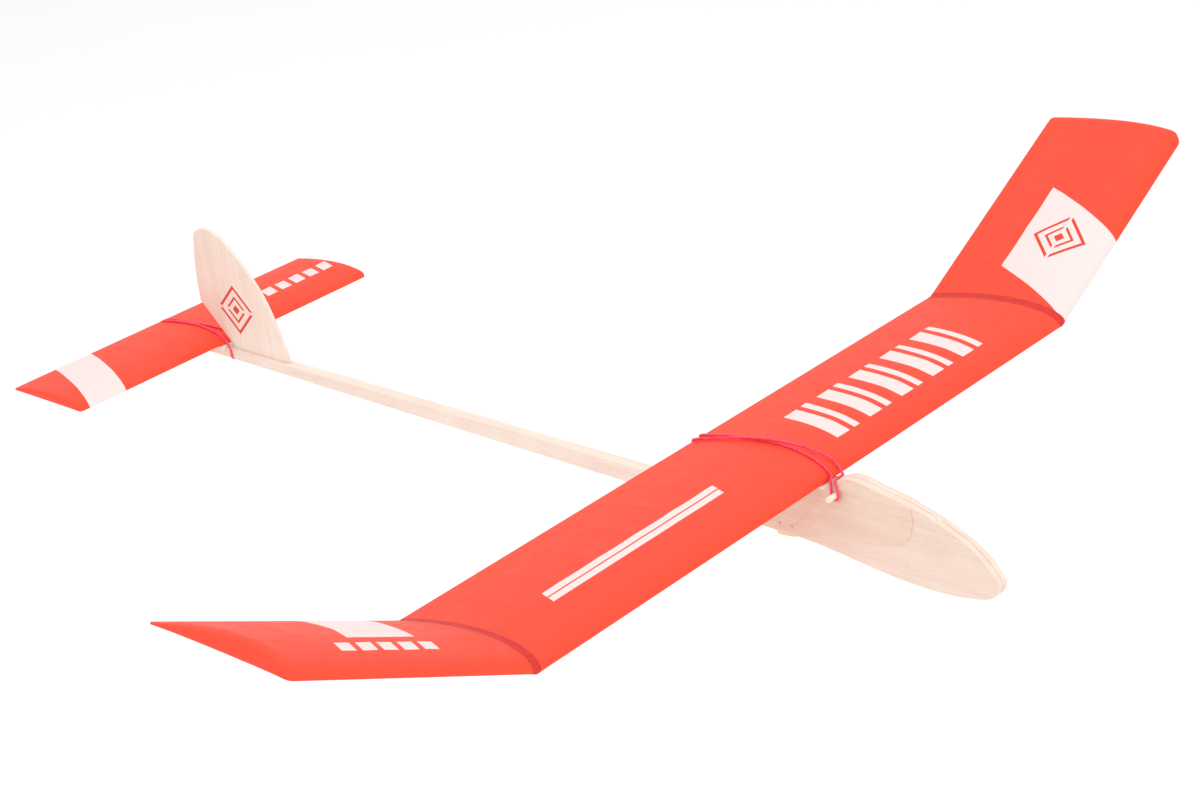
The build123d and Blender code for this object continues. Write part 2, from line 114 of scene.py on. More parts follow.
class Graph:
    """The node tree of one material, built from short calls that return sockets."""

    def __init__(self, name, roughness, specular=0.5, coat=0.0):
        self.material = bpy.data.materials.new(name)
        self.material.use_nodes = True
        self.tree = self.material.node_tree
        self.surface = self.tree.nodes["Principled BSDF"]
        self.surface.inputs["Roughness"].default_value = roughness
        self.surface.inputs["Specular IOR Level"].default_value = specular
        self.surface.inputs["Coat Weight"].default_value = coat

    def node(self, kind, inputs=(), **settings):
        node = self.tree.nodes.new(kind)
        for name, value in settings.items():
            setattr(node, name, value)
        for place, value in dict(inputs).items():
            if isinstance(value, bpy.types.NodeSocket):
                self.tree.links.new(value, node.inputs[place])
            else:
                node.inputs[place].default_value = value
        return node

    def math(self, operation, first, second=0.0):
        return self.node("ShaderNodeMath", {0: first, 1: second}, operation=operation).outputs[0]

    def ramp(self, value, low, high, to_low=0.0, to_high=1.0):
        return self.node(
            "ShaderNodeMapRange", {"Value": value, "From Min": low, "From Max": high,
                                   "To Min": to_low, "To Max": to_high},
            interpolation_type="SMOOTHSTEP").outputs[0]

    def band(self, value, low, high, soft=0.12):
        """1 between low and high, which may be sockets, and 0 outside."""
        above = self.ramp(self.math("SUBTRACT", value, low), -soft, soft)
        below = self.ramp(self.math("SUBTRACT", high, value), -soft, soft)
        return self.math("MULTIPLY", above, below)

    def both(self, first, second):
        return self.math("MULTIPLY", first, second)

    def either(self, masks):
        result = masks[0]
        for mask in masks[1:]:
            result = self.math("MAXIMUM", result, mask)
        return result

    def mix(self, factor, first, second):
        node = self.node("ShaderNodeMix", {0: factor, 6: first, 7: second}, data_type="RGBA")
        return node.outputs[2]

    def split(self, vector):
        return self.node("ShaderNodeSeparateXYZ", {0: vector}).outputs

    def stretched(self, vector, scale):
        """The vector times a scale for each axis."""
        return self.node("ShaderNodeVectorMath", {0: vector, 1: scale}, operation="MULTIPLY").outputs[0]

    def noise(self, vector, scale, detail=3.0, roughness=0.5, distortion=0.0):
        return self.node("ShaderNodeTexNoise", {
            "Vector": vector, "Scale": scale, "Detail": detail, "Roughness": roughness,
            "Distortion": distortion}).outputs["Fac"]

    def object_mm(self):
        """The place on the piece in millimetres, measured as in the CAD."""
        place = self.node("ShaderNodeTexCoord").outputs["Object"]
        scaled = self.stretched(place, (1 / MM, 1 / MM, 1 / MM))
        return self.node("ShaderNodeVectorMath", {0: scaled, 1: tuple(ORIGIN)},
                         operation="SUBTRACT").outputs[0]

    def finish(self, colour, height=None, bump=0.1, distance=0.0002, roughness=None):
        self.tree.links.new(colour, self.surface.inputs["Base Color"])
        if height is not None:
            node = self.node("ShaderNodeBump", {"Strength": bump, "Distance": distance, "Height": height})
            self.tree.links.new(node.outputs[0], self.surface.inputs["Normal"])
        if roughness is not None:
            self.tree.links.new(roughness, self.surface.inputs["Roughness"])
        return self.material


BEYOND = 60.0               # further than any edge, for masks that are open on one side
RIB_HALF_WIDTH = 0.9
FILM_RED = rgb(246, 77, 57)
FILM_OVER_WOOD = rgb(246, 76, 53)
FILM_WHITE = rgb(243, 214, 211)
MARK_RED = rgb(214, 74, 54)
GLUE = rgb(206, 158, 136)


def wood(name, light, dark, grain, mark=None, seam=False, fleck=0.35, roughness=0.62, seed=0.0):
    """Sanded wood. grain is the axis that its fibres run along."""
    g = Graph(name, roughness, specular=0.25)
    place = g.object_mm()
    shifted = g.node("ShaderNodeVectorMath", {0: place, 1: (seed, seed * 1.7, seed * 2.3)},
                     operation="ADD").outputs[0]

    def along(length):
        scale = [1.0, 1.0, 1.0]
        scale["XYZ".index(grain)] = 1 / length
        return g.stretched(shifted, tuple(scale))

    growth = g.noise(along(26.0), 0.16, detail=2.0, distortion=0.6)
    fibre = g.noise(along(22.0), 1.5, detail=5.0, roughness=0.65)
    pores = g.ramp(g.noise(along(9.0), 2.6, detail=2.0), 0.60, 0.72)
    cloud = g.noise(shifted, 0.035, detail=1.0)
    tone = g.math("ADD", g.math("MULTIPLY", g.ramp(growth, 0.38, 0.66), 0.45),
                  g.math("MULTIPLY", g.ramp(fibre, 0.35, 0.70), 0.40))
    tone = g.math("ADD", tone, g.math("MULTIPLY", g.ramp(cloud, 0.35, 0.65), 0.25))
    colour = g.mix(tone, light, dark)
    pore_colour = [channel * 0.72 for channel in dark[:3]] + [1.0]
    colour = g.mix(g.math("MULTIPLY", pores, fleck), colour, pore_colour)
    if mark:
        colour = g.mix(mark(g, place), colour, MARK_RED)
    if seam:
        glue = g.band(g.split(place)[0], -0.28, 0.28, 0.1)
        colour = g.mix(g.math("MULTIPLY", glue, g.ramp(growth, 0.3, 0.6, 0.45, 0.9)), colour, GLUE)
    height = g.math("SUBTRACT", fibre, g.math("MULTIPLY", pores, 0.8))
    return g.finish(colour, height, bump=0.25, distance=0.00012,
                    roughness=g.ramp(fibre, 0.3, 0.7, roughness - 0.08, roughness + 0.08))


def diamonds(g, across, up, centre, size, line):
    """Two nested diamond outlines and a solid one, as a plain mark."""
    away = g.math("ADD", g.math("ABSOLUTE", g.math("SUBTRACT", across, centre[0])),
                  g.math("ABSOLUTE", g.math("SUBTRACT", up, centre[1])))
    rings = [g.band(away, size - line, size), g.band(away, 0.56 * size - 0.8 * line, 0.56 * size)]
    dot = g.band(away, -1.0, 0.2 * size)
    gap = g.ramp(g.math("ABSOLUTE", g.math("SUBTRACT", up, centre[1])), 0.9, 1.2)
    return g.math("MAXIMUM", g.both(g.either(rings), gap), dot)


def fin_mark(g, place):
    x, y, z = g.split(place)
    return diamonds(g, y, z, (531.0, 4.0), 19.0, 3.0)


def slanted_row(g, span, along, start, step, width, count, front, back, slant):
    """A row of slanted bars, as a plain stand-in for lettering."""
    leaning = g.math("SUBTRACT", span, g.math("MULTIPLY", along, slant))
    inside = g.band(leaning, start, start + step * (count - 1) + width)
    phase = g.math("MODULO", g.math("SUBTRACT", leaning, start - step), step)
    bars = g.band(phase, 0.0, width)
    return g.both(g.both(bars, inside), g.band(along, front, back))


def film_structure(g, span, along, foil, ribs):
    """Where the film lies on wood: the two edge strips, the spar and the ribs."""
    strips = [g.band(along, -BEYOND, foil.front_strip, 0.5),
              g.band(along, foil.chord - foil.rear_strip, foil.chord + BEYOND, 0.5),
              g.band(along, foil.spar[0], foil.spar[1], 0.5)]
    lines = g.either([g.band(span, x - RIB_HALF_WIDTH, x + RIB_HALF_WIDTH, 0.5) for x in ribs])
    return g.either(strips + [g.math("MULTIPLY", lines, 0.6)])


def film(name, foil, ribs, marks, red_mark=None):
    """Shrunk covering film with its printed marks. It darkens a little where it lies on wood."""
    g = Graph(name, 0.5, specular=0.12)
    span, along, top = g.split(g.node("ShaderNodeAttribute", attribute_name="film").outputs["Vector"])
    mapped = g.node("ShaderNodeCombineXYZ", {0: span, 1: along, 2: 0.0}).outputs[0]
    structure = film_structure(g, span, along, foil, ribs)
    streaks = g.noise(g.stretched(mapped, (0.25, 1.0, 1.0)), 0.9, detail=4.0)
    patches = g.noise(mapped, 0.12, detail=3.0, roughness=0.6)
    grip = g.both(structure, g.ramp(streaks, 0.30, 0.62, 0.45, 1.0))
    red = g.mix(grip, FILM_RED, FILM_OVER_WOOD)
    red = g.mix(g.ramp(patches, 0.42, 0.75, 0.0, 0.22), red, FILM_OVER_WOOD)
    white = g.mix(g.math("MULTIPLY", grip, 0.35), FILM_WHITE, rgb(242, 217, 211))
    printed = g.both(g.either(marks(g, span, along)), top)
    colour = g.mix(printed, red, white)
    if red_mark:
        colour = g.mix(g.both(red_mark(g, span, along), top), colour, MARK_RED)
    ripple = g.noise(g.stretched(mapped, (0.12, 0.35, 1.0)), 1.0, detail=2.0)
    height = g.math("ADD", g.math("MULTIPLY", ripple, 0.5),
                    g.math("MULTIPLY", g.both(structure, streaks), 0.6))
    return g.finish(colour, height, bump=0.18, distance=0.0003,
                    roughness=g.ramp(patches, 0.3, 0.7, 0.45, 0.55))


def wing_marks(g, span, along):
    skewed = g.math("SUBTRACT", span, g.math("MULTIPLY", along, 0.3))
    stripes = [g.both(g.band(skewed, -214.5, -68.5), g.band(along, 36.5, 42.0)),
               g.both(g.band(skewed, -214.5, -69.0), g.band(along, 30.0, 35.2))]
    wide_bars = slanted_row(g, span, along, 28.0, 33.0, 12.5, 5, 17.0, 65.0, 0.2)
    thin_bars = slanted_row(g, span, along, 45.0, 33.0, 5.5, 5, 17.0, 65.0, 0.2)
    left_tip = g.math("SUBTRACT", g.math("SUBTRACT", span, BREAK_X), g.math("MULTIPLY", along, 0.469))
    left_panel = g.both(g.band(left_tip, 0.6, 75.0), g.band(along, -BEYOND, 61.5))
    right_tip = g.math("SUBTRACT", -BREAK_X, span)
    low = g.math("SUBTRACT", 72.9, g.math("MULTIPLY", along, 0.445))
    high = g.math("SUBTRACT", 121.0, g.math("MULTIPLY", along, 0.445))
    right_panel = g.both(g.band(right_tip, low, high), g.band(along, 34.3, 180.0))
    small = slanted_row(g, right_tip, along, 63.0, 14.6, 10.4, 5, 16.0, 26.0, -0.35)
    return stripes + [wide_bars, thin_bars, left_panel, right_panel, small]


def wing_red_mark(g, span, along):
    return diamonds(g, span, along, (BREAK_X + 60.0, 33.0), 20.0, 3.1)


def tail_marks(g, span, along):
    leaning = g.math("SUBTRACT", span, g.math("MULTIPLY", along, 0.365))
    right_band = g.band(leaning, -128.4, -96.6)
    small = slanted_row(g, span, along, 12.0, 14.0, 9.6, 8, 28.0, 43.0, 0.3)
    return [right_band, small]


def tape_material():
    """Doubled film over coarse glass cloth, which shows through as dark mottling."""
    g = Graph("doubled_film", 0.5, specular=0.25)
    place = g.object_mm()
    cloth = g.noise(place, 1.3, detail=4.0, roughness=0.7)
    weave = g.node("ShaderNodeTexVoronoi", {"Vector": place, "Scale": 0.9}).outputs["Distance"]
    tone = g.math("ADD", g.ramp(cloth, 0.35, 0.65, 0.0, 0.6), g.ramp(weave, 0.1, 0.6, 0.0, 0.4))
    colour = g.mix(tone, rgb(172, 26, 26), rgb(222, 54, 44))
    return g.finish(colour, cloth, bump=0.4, distance=0.0002)


def rubber_material():
    g = Graph("crimson_rubber", 0.38, specular=0.45)
    place = g.object_mm()
    tone = g.noise(place, 0.5, detail=3.0)
    dust = g.noise(place, 3.5, detail=2.0)
    colour = g.mix(g.ramp(tone, 0.3, 0.7), rgb(237, 40, 72), rgb(251, 78, 108))
    colour = g.mix(g.ramp(dust, 0.55, 0.8, 0.0, 0.25), colour, rgb(255, 130, 148))
    return g.finish(colour, dust, bump=0.2, distance=0.0001)


def metal_material(name, colour_low, colour_high, roughness):
    g = Graph(name, roughness)
    g.surface.inputs["Metallic"].default_value = 1.0
    place = g.object_mm()
    tone = g.noise(place, 2.0, detail=4.0)
    return g.finish(g.mix(g.ramp(tone, 0.3, 0.7), colour_low, colour_high), tone, bump=0.2,
                    distance=0.0001)


# ---------------------------------------------------------------- mesh helpers

def finish_piece(obj, material, body, nodes=()):
    """Gives a new piece its material and its body, and hides the CAD nodes that it stands for."""
    obj.data.materials.clear()
    obj.data.materials.append(material)
    bpy.context.scene.collection.objects.link(obj)
    if body:
        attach(obj, body)
    if nodes:
        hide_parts(*nodes)
    return obj


def mesh_object(name, points, faces, film_places=None):
    """A smooth mesh from places in metres and rings of point numbers."""
    mesh = bpy.data.meshes.new(name)
    mesh.from_pydata([tuple(p) for p in points], [], faces)
    if film_places:
        attribute = mesh.attributes.new("film", "FLOAT_VECTOR", "POINT")
        for item, value in zip(attribute.data, film_places):
            item.vector = value
    work = bmesh.new()
    work.from_mesh(mesh)
    bmesh.ops.recalc_face_normals(work, faces=work.faces)
    for face in work.faces:
        face.smooth = True
    work.to_mesh(mesh)
    work.free()
    return bpy.data.objects.new(name, mesh)


def softened(node, name, width, material, body="airframe", segments=3, inner_width=None):
    """A copy of a CAD node with its sharp edges sanded round. inner_width is for the edges at x = 0."""
    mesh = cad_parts[node].data.copy()
    mesh.name = name
    work = bmesh.new()
    work.from_mesh(mesh)
    bmesh.ops.remove_doubles(work, verts=work.verts, dist=0.00001)
    bmesh.ops.dissolve_limit(work, angle_limit=math.radians(0.5), verts=work.verts, edges=work.edges)
    weights = work.edges.layers.float.new("bevel_weight_edge")
    for edge in work.edges:
        sharp = len(edge.link_faces) == 2 and edge.calc_face_angle() > math.radians(35)
        middle = max(abs(v.co.x) for v in edge.verts) < 0.00005
        edge[weights] = 0.0 if not sharp else inner_width / width if middle and inner_width else 1.0
    for face in work.faces:
        face.smooth = True
    work.to_mesh(mesh)
    work.free()
    obj = bpy.data.objects.new(name, mesh)
    bevel = obj.modifiers.new("sanded", "BEVEL")
    bevel.width = width * MM
    bevel.segments = segments
    bevel.limit_method = "WEIGHT"
    bevel.harden_normals = True
    return finish_piece(obj, material, body, [node])


# ---------------------------------------------------------------- film-covered surfaces

class Foil:
    """A flat-bottomed section, as in the CAD, with the film's sag and the rounded outline of its tips.
    strips are the widths of the wooden edges. end is where the tip ends, corners are the radii of its
    outline, and tip_top and tip_bottom say how much of the section's height is left at its very end."""

    def __init__(self, chord, rise, belly, bluntness, y, z, strips, spar, end, corners, tip_top,
                 tip_bottom):
        self.chord = chord
        self.rise = rise
        self.belly = belly
        self.bluntness = bluntness
        self.y = y
        self.z = z
        self.front_strip, self.rear_strip = strips
        self.spar = spar
        self.last_rib = end - LAST_RIB_INSET
        self.tip_end = end
        self.corners = corners
        self.tip_top = tip_top
        self.tip_bottom = tip_bottom

    def upper(self, along):
        share = along / self.chord
        peak = (self.bluntness / (self.bluntness + 1)) ** self.bluntness / (self.bluntness + 1)
        return self.rise / peak * share ** self.bluntness * (1 - share) + EDGE_THICKNESS / 2 * share

    def lower(self, along):
        share = along / self.chord
        nose = 1 - math.exp(-share / 0.015)
        return -self.belly * nose * (1 - share) - EDGE_THICKNESS / 2 * share

    def sag(self, along):
        """How deep the film hangs in the middle of a bay. It lies on the strips and on the spar."""
        gaps = ((self.front_strip, self.spar[0], FRONT_SAG),
                (self.spar[1], self.chord - self.rear_strip, REAR_SAG))
        for front, back, depth in gaps:
            if front < along < back:
                return depth * math.sin(math.pi * (along - front) / (back - front)) ** 0.8
        return 0.0

    def outline(self, along):
        """How far out the tip reaches at a place along the chord."""
        for radius, depth in zip(self.corners, (along, self.chord - along)):
            if depth < radius:
                return self.tip_end - radius + math.sqrt(radius ** 2 - (radius - depth) ** 2)
        return self.tip_end

    def rounded(self, along, height, reach):
        """A height on the section, lowered or lifted where the tip's edges are rounded."""
        share = min(max((reach - self.tip_end) / TIP_ROUNDING + 1, 0), 1)
        fall = (1 - math.sqrt(1 - (TIP_TURN * share) ** 2)) / (1 - math.sqrt(1 - TIP_TURN ** 2))
        if height > 0:
            return height * (1 - (1 - self.tip_top) * fall)
        return height + self.upper(along) * self.tip_bottom * fall


WING = Foil(chord=wing_high.y - wing_low.y, rise=10.9, belly=0.8, bluntness=0.46, y=0.0, z=0.0,
            strips=(8.0, 12.0), spar=(30.2, 33.0), end=TIP_SPAN, corners=(8.0, 3.0), tip_top=0.67,
            tip_bottom=0.22)
TAIL = Foil(chord=tail_high.y - tail_low.y, rise=6.0, belly=0.55, bluntness=0.55,
            y=tail_low.y - ORIGIN.y, z=TAIL_Z, strips=(6.0, 10.0), spar=(23.0, 25.4), end=TAIL_END,
            corners=(3.5, 1.5), tip_top=0.9, tip_bottom=0.06)

RING_STEPS = 38
TE_ROUND = 0.35
TIP_ROUND = 0.25
BAY_STEPS = (0.0, 0.04, 0.12, 0.28, 0.5, 0.72, 0.88, 0.96)
TIP_STEPS = (0.12, 0.3, 0.5, 0.66, 0.8, 0.9, 0.96, 1.0)


def ring(foil):
    """(place along the chord, side) once round the section, from the rear edge over the top.
    side is 1 on top, -1 underneath and 0 at the two ends."""
    shares = [0.0001, 0.0004] + [
        0.5 - 0.5 * math.cos(math.pi * i / RING_STEPS) for i in range(1, RING_STEPS)]
    places = [share * foil.chord for share in shares] + [foil.chord - TE_ROUND]
    top = [(along, 1) for along in reversed(places)]
    under = [(along, -1) for along in places]
    return [(foil.chord, 0)] + top + [(0.0, 0)] + under


def columns(ribs, ends, tips):
    """(span, tip share, slack) from one end of a panel to the other. slack is 1 in the middle of a bay
    and the tip share runs from 0 at the last rib to 1 at the outline."""
    stops = sorted(set(ribs) | set(ends))
    found = []
    for first, second in zip(stops, stops[1:]):
        sheeted = second - first < 0.7 * (stops[2] - stops[1]) or (first, second) in SHEETED
        for f in BAY_STEPS:
            slack = 0.0 if sheeted else 1 - abs(2 * f - 1) ** 2.2
            found.append((first + (second - first) * f, 0.0, slack))
    found.append((stops[-1], 0.0, 0.0))
    if "outer" in tips:
        found += [(stops[-1], share, 0.0) for share in TIP_STEPS]
    if "inner" in tips:
        found = [(stops[0], share, 0.0) for share in reversed(TIP_STEPS)] + found
    return found


def film_point(foil, column, along, side, in_panel):
    """The film's place (span, along, height) in its panel's own frame."""
    span, tip_share, slack = column
    if side > 0:
        height = foil.upper(along) - slack * foil.sag(along)
    elif side < 0:
        height = foil.lower(along) + slack * foil.sag(along) * UNDER_SAG / REAR_SAG
    else:
        height = 0.0
    if in_panel == "centre":
        return span, along, height
    outline = foil.outline(along)
    last = min(foil.last_rib, outline - 1)
    reach = abs(span) * last / foil.last_rib
    if tip_share:
        reach = last + (outline - TIP_ROUND - last) * tip_share
        height = foil.rounded(along, height, reach)
    return math.copysign(reach, span), along, height


def in_centre(span, along, height):
    return (span * (BREAK_X - height * MITRE) / BREAK_X, along, height)


def in_tip(span, along, height):
    """A tip panel starts on the mitre and rises at the dihedral."""
    out = span + height * MITRE * max(0.0, 1 - span / LAST_RIB)
    turn = math.radians(DIHEDRAL)
    return (BREAK_X + out * math.cos(turn) - height * math.sin(turn), along,
            out * math.sin(turn) + height * math.cos(turn))


def in_tail(span, along, height):
    return (span, TAIL.y + along, TAIL.z + height)


def film_skin(name, foil, panel, column_list, to_frame, material, body, node, flip=False):
    """The film around one panel, as a closed section at each station, with closed tips."""
    around = ring(foil)
    sign = -1 if flip else 1
    points = []
    film_places = []

    def add(span, along, height, side):
        x, y, z = to_frame(span, along, height)
        points.append(at(sign * x, y, z))
        beyond = BREAK_X if panel == "tip" else 0.0
        film_places.append((sign * (span + beyond), along, 1.0 if side >= 0 else 0.0))
        return len(points) - 1

    grid = [[add(*film_point(foil, column, along, side, panel), side) for along, side in around]
            for column in column_list]
    faces = []
    count = len(around)
    for near, far in zip(grid, grid[1:]):
        faces += [(near[i], near[(i + 1) % count], far[(i + 1) % count], far[i]) for i in range(count)]
    for end, column in ((grid[0], column_list[0]), (grid[-1], column_list[-1])):
        if column[1] != 1.0:
            continue
        middles = []
        for i in range(1, count // 2):
            along = around[i][0]
            top = film_point(foil, column, along, 1, panel)
            under = film_point(foil, column, along, -1, panel)
            span = math.copysign(foil.outline(along), top[0])
            middles.append(add(span, along, (top[2] + under[2]) / 2, 1))
        rim = [end[0]] + middles + [end[count // 2]]
        for i in range(count // 2):
            upper_pair = (end[i], end[i + 1])
            lower_pair = (end[-i] if i else end[0], end[-i - 1])
            for pair in (upper_pair, lower_pair):
                face = list(dict.fromkeys((pair[0], pair[1], rim[i + 1], rim[i])))
                if len(face) > 2:
                    faces.append(tuple(face))
    obj = mesh_object(name, points, faces, film_places)
    solid = obj.modifiers.new("film", "SOLIDIFY")
    solid.thickness = FILM_THICKNESS * MM
    solid.offset = -1
    finish_piece(obj, material, body, [node])


HALF_BAYS = int(BREAK_X / RIB_PITCH) - 1
CENTRE_RIBS = [-END_RIB] + [i * RIB_PITCH for i in range(-HALF_BAYS, HALF_BAYS + 1)] + [END_RIB]
TIP_RIBS = [TIP_FIRST_RIB] + [TIP_RIB_PITCH * (i + 1) for i in range(TIP_RIB_COUNT)] + [LAST_RIB]
tail_steps = range(-TAIL_RIBS_EACH_SIDE, TAIL_RIBS_EACH_SIDE + 1)
TAIL_RIBS = [-TAIL_LAST_RIB] + [i * TAIL_RIB_PITCH for i in tail_steps] + [TAIL_LAST_RIB]
SHEETED = {(-RIB_PITCH, 0.0), (0.0, RIB_PITCH), (-TAIL_RIB_PITCH, 0.0), (0.0, TAIL_RIB_PITCH)}

wing_ribs = CENTRE_RIBS + [s * (BREAK_X + x) for s in (-1, 1) for x in TIP_RIBS]
wing_film = film("wing_film", WING, wing_ribs, wing_marks, wing_red_mark)
tail_film = film("tail_film", TAIL, TAIL_RIBS, tail_marks)

film_skin("film_wing_centre", WING, "centre", columns(CENTRE_RIBS, (-BREAK_X, BREAK_X), ()), in_centre,
          wing_film, "airframe", "wing_centre_covering")
for side, flip in (("left", False), ("right", True)):
    film_skin(f"film_{side}_tip", WING, "tip", columns(TIP_RIBS, (0.0,), ("outer",)), in_tip,
              wing_film, "airframe", f"{side}_tip_covering", flip)
film_skin("film_tailplane", TAIL, "tail", columns(TAIL_RIBS, (), ("outer", "inner")), in_tail,
          tail_film, "tailplane", "tail_covering")

# ---------------------------------------------------------------- strips of doubled film at the breaks

TAPE_STOPS = (-1.0, -0.85, -0.45, 0.0, 0.45, 0.85, 1.0)


def joint_strip(side, sign, material):
    """The strip that wraps the joint between the centre panel and a tip."""
    around = ring(WING)
    section = [(along, film_point(WING, (0.0, 0.0, 0.0), along, s, "centre")[2]) for along, s in around]
    points = []
    for i, (along, height) in enumerate(section):
        before, after = section[i - 1], section[(i + 1) % len(section)]
        tangent = Vector((after[0] - before[0], after[1] - before[1])).normalized()
        outwards = Vector((tangent.y, -tangent.x))
        for stop in TAPE_STOPS:
            lift = TAPE_LIFT if abs(stop) == 1.0 else TAPE_LIFT + TAPE_THICKNESS
            across = stop * TAPE_WIDTH / 2
            if abs(stop) > 0.8:
                across += 0.35 * noise.noise(Vector((along * 0.25, stop * 7.0, height * 0.4)))
            y = along + outwards.x * lift
            z = height + outwards.y * lift
            x, y, z = in_centre(BREAK_X + across, y, z) if across < 0 else in_tip(across, y, z)
            points.append(at(sign * x, y, z))
    wide = len(TAPE_STOPS)
    count = len(section)
    faces = []
    for i in range(count):
        first, second = i * wide, (i + 1) % count * wide
        faces += [(first + k, first + k + 1, second + k + 1, second + k) for k in range(wide - 1)]
    obj = mesh_object(f"{side}_joint_strip", points, faces)
    finish_piece(obj, material, "airframe", [f"{side}_joint_tape"])


doubled_film = tape_material()
joint_strip("left", 1, doubled_film)
joint_strip("right", -1, doubled_film)

# ---------------------------------------------------------------- wooden parts

balsa_light, balsa_dark = rgb(241, 222, 209), rgb(231, 206, 191)
pod_light, pod_dark = rgb(236, 216, 202), rgb(225, 200, 185)
balsa_y = wood("balsa_lengthwise", balsa_light, balsa_dark, "Y", seed=3.0)
balsa_pod = wood("balsa_pod", pod_light, pod_dark, "Y", seam=True, seed=11.0)
balsa_fin = wood("balsa_fin", balsa_light, balsa_dark, "Z", mark=fin_mark, seed=23.0)
balsa_x = wood("balsa_spanwise", balsa_light, balsa_dark, "X", seed=31.0)
ply = wood("plywood", rgb(233, 208, 191), rgb(220, 191, 173), "Y", fleck=0.25, seed=43.0)
seat_wood = wood("seat_wood", rgb(248, 232, 214), rgb(240, 218, 198), "X", fleck=0.25, seed=71.0)
hook_ply = wood("hook_plywood", rgb(246, 222, 172), rgb(232, 200, 146), "Y", fleck=0.3, seed=47.0)
pine = wood("pine", rgb(236, 208, 168), rgb(214, 178, 132), "X", fleck=0.15, seed=53.0)
beech = wood("beech", rgb(248, 234, 212), rgb(238, 216, 190), "X", fleck=0.45, roughness=0.5, seed=61.0)
beech_upright = wood("beech_upright", rgb(246, 226, 206), rgb(232, 202, 178), "Z", fleck=0.45, seed=67.0)

for side in ("left", "right"):
    softened(f"pod_half_{side}", f"nose_pod_{side}", 1.0, balsa_pod, segments=4, inner_width=0.3)
    softened(f"pod_doubler_{side}", f"pod_{side}_doubler", 0.3, ply, segments=2)
softened("tail_boom", "boom_stick", 0.45, balsa_y)
softened("fin", "fin_plate", 0.75, balsa_fin, segments=4)
softened("tail_platform", "tail_seat", 0.35, balsa_y)
softened("wing_saddle", "wing_seat", 0.2, seat_wood, segments=2)
softened("tow_hook", "tow_hook_tab", 0.3, hook_ply)
softened("ballast_plug", "ballast_plug_pin", 0.45, beech_upright)
softened("front_wing_dowel", "front_dowel", 0.35, beech)
softened("rear_wing_dowel", "rear_dowel", 0.35, beech)
softened("tail_band_peg", "band_peg", 0.3, beech_upright)

dark_steel = metal_material("dark_pin_steel", rgb(120, 108, 106), rgb(160, 146, 142), 0.45)
lead = metal_material("dull_lead", rgb(110, 112, 118), rgb(140, 142, 148), 0.6)
softened("tow_hook_pins", "hook_pins", 0.12, dark_steel, segments=2)

KEPT = {"leading_edge": balsa_x, "trailing_edge": balsa_x, "ribs": balsa_y, "spar": pine,
        "end_plate": balsa_x, "end_plates": balsa_x, "sheeting": balsa_x, "brace": ply, "weight": lead}
for name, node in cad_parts.items():
    for ending, material in KEPT.items():
        if name.endswith(ending):
            node.data.materials.clear()
            node.data.materials.append(material)

# ---------------------------------------------------------------- rubber bands

BAND_SIDES = 12
BAND_STEP = 0.7
BAND_SQUARENESS = 3.2       # the section's superellipse power


def across_at(share, stops):
    """The x of a strand at a share of the chord, between (share, x) stops."""
    for (first, x_first), (second, x_second) in zip(stops, stops[1:]):
        if share <= second:
            return x_first + (x_second - x_first) * (share - first) / (second - first)
    return stops[-1][1]


def over(foil, stops, lifts=None):
    """A strand's points over a surface, from the nose to just ahead of the rear edge."""
    shares = (0.014, 0.045, 0.10, 0.19, 0.30, 0.42, 0.55, 0.68, 0.81, 0.94)
    route = []
    for i, share in enumerate(shares):
        along = share * foil.chord
        slope = (foil.upper(along + 0.2) - foil.upper(along - 0.2)) / 0.4
        normal = Vector((-slope, 1)).normalized() * BAND_GAP
        height = foil.z + foil.upper(along) + normal.y + (lifts or {}).get(i, 0)
        route.append((across_at(share, stops), foil.y + along + normal.x, height))
    return route


def around(place, points):
    """Route points given as x and (y, z) offsets from a pin's axis."""
    return [(x, place[0] + y, place[1] + z) for x, y, z in points]


def rounded(points):
    """A closed line with its corners cut until it is a smooth curve."""
    for _ in range(3):
        pairs = zip(points, points[1:] + points[:1])
        points = [p for a, b in pairs for p in (a.lerp(b, 0.25), a.lerp(b, 0.75))]
    return points


def spaced(points):
    """The closed line's points at even steps."""
    lengths = [(b - a).length for a, b in zip(points, points[1:] + points[:1])]
    steps = round(sum(lengths) / BAND_STEP)
    step = sum(lengths) / steps
    found = []
    i, passed = 0, 0.0
    for k in range(steps):
        while passed + lengths[i] < k * step:
            passed += lengths[i]
            i += 1
        share = (k * step - passed) / lengths[i]
        found.append(points[i].lerp(points[(i + 1) % len(points)], share))
    return found


def band_sections(route, turns):
    """Cross-sections of a closed rubber band that twists by whole quarter turns along its route."""
    line = spaced(rounded([Vector(p) for p in route]))
    count = len(line)
    normal = Vector((0, 0, 1))
    frames = []
    for i in range(count):
        tangent = (line[(i + 1) % count] - line[i - 1]).normalized()
        normal = (normal - tangent * normal.dot(tangent)).normalized()
        frames.append((tangent, normal))
    first_tangent, first_normal = frames[0]
    carried = (frames[-1][1] - first_tangent * frames[-1][1].dot(first_tangent)).normalized()
    drift = math.atan2(first_tangent.dot(carried.cross(first_normal)), carried.dot(first_normal))
    sections = []
    for i, (place, (tangent, normal)) in enumerate(zip(line, frames)):
        twist = (drift + turns * math.pi / 2) * i / count
        fullness = 1 + 0.05 * noise.noise(place * 0.35)
        side = tangent.cross(normal)
        section = []
        for k in range(BAND_SIDES):
            angle = 2 * math.pi * k / BAND_SIDES
            power = BAND_SQUARENESS
            corner = (abs(math.cos(angle)) ** power + abs(math.sin(angle)) ** power) ** (-1 / power)
            reach = BAND_RADIUS * 0.90 * corner * fullness
            turned = angle + twist
            section.append(place + reach * (math.cos(turned) * normal + math.sin(turned) * side))
        sections.append(section)
    return sections


